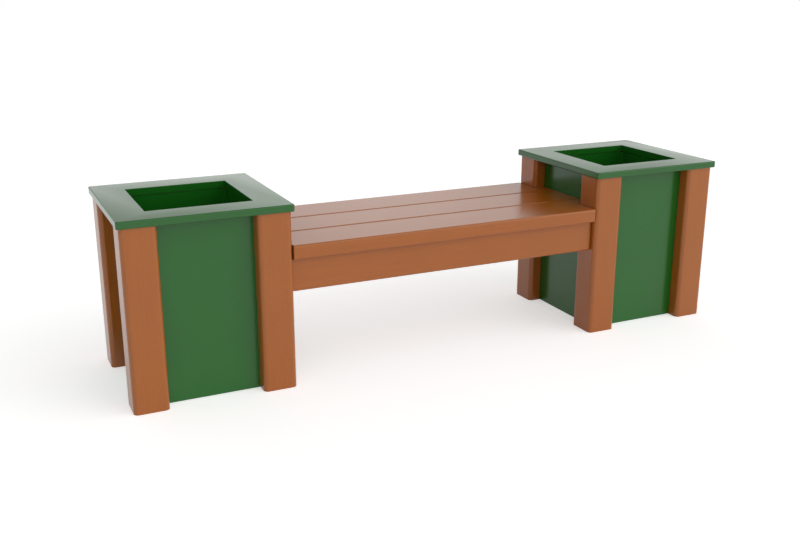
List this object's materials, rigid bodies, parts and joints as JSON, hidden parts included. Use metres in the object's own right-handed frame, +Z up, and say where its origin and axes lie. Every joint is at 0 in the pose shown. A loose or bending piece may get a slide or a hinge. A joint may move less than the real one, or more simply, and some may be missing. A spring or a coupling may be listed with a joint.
{
  "type": "bench with planter",
  "caption": "Backless park bench: level plank seat carried between square green planters with cedar-brown corner posts, flat green top trims and liners.",
  "frame": {"origin": "on the ground under the middle of the seat", "axes": "+X along the seat, +Y from the front edge to the back edge, +Z up"},
  "size_m": [1.77, 0.4318, 0.489],
  "materials": {
    "cedar_lumber": "satin moulded plastic lumber, cedar brown with fine lengthwise grain",
    "green_panel": "satin sheet, deep green with a fine matt texture",
    "green_trim": "satin to semi-gloss sheet, deep green, eased edges",
    "green_liner": "satin moulded tub, deep green",
    "dark_battens": "plain brown plastic battens and boards, out of sight",
    "galvanised_brackets": "galvanised",
    "stainless_fasteners": "stainless"
  },
  "bodies": {
    "root": {"apron_back": "cedar_lumber", "apron_front": "cedar_lumber", "bracket_back_left": "galvanised_brackets", "bracket_back_middle": "galvanised_brackets", "bracket_back_right": "galvanised_brackets", "bracket_front_left": "galvanised_brackets", "bracket_front_middle": "galvanised_brackets", "bracket_front_right": "galvanised_brackets", "bracket_screws": "stainless_fasteners", "ledger_lags": "stainless_fasteners", "ledger_left": "dark_battens", "ledger_right": "dark_battens", "left_floor_back": "dark_battens", "left_floor_cleat_inner": "dark_battens", "left_floor_cleat_outer": "dark_battens", "left_floor_cleat_screws": "stainless_fasteners", "left_floor_front": "dark_battens", "left_liner": "green_liner", "left_panel_back": "green_panel", "left_panel_front": "green_panel", "left_panel_inner": "green_panel", "left_panel_outer": "green_panel", "left_post_back_inner": "cedar_lumber", "left_post_back_outer": "cedar_lumber", "left_post_front_inner": "cedar_lumber", "left_post_front_outer": "cedar_lumber", "left_top_cleat_back": "dark_battens", "left_top_cleat_front": "dark_battens", "left_top_cleat_inner": "dark_battens", "left_top_cleat_outer": "dark_battens", "left_top_cleat_screws": "stainless_fasteners", "left_top_trim": "green_trim", "left_trim_screws": "stainless_fasteners", "middle_batten": "dark_battens", "plank_screws": "stainless_fasteners", "right_floor_back": "dark_battens", "right_floor_cleat_inner": "dark_battens", "right_floor_cleat_outer": "dark_battens", "right_floor_cleat_screws": "stainless_fasteners", "right_floor_front": "dark_battens", "right_liner": "green_liner", "right_panel_back": "green_panel", "right_panel_front": "green_panel", "right_panel_inner": "green_panel", "right_panel_outer": "green_panel", "right_post_back_inner": "cedar_lumber", "right_post_back_outer": "cedar_lumber", "right_post_front_inner": "cedar_lumber", "right_post_front_outer": "cedar_lumber", "right_top_cleat_back": "dark_battens", "right_top_cleat_front": "dark_battens", "right_top_cleat_inner": "dark_battens", "right_top_cleat_outer": "dark_battens", "right_top_cleat_screws": "stainless_fasteners", "right_top_trim": "green_trim", "right_trim_screws": "stainless_fasteners", "seat_plank_back": "cedar_lumber", "seat_plank_front": "cedar_lumber", "seat_plank_middle": "cedar_lumber"}
  },
  "joints": []
}
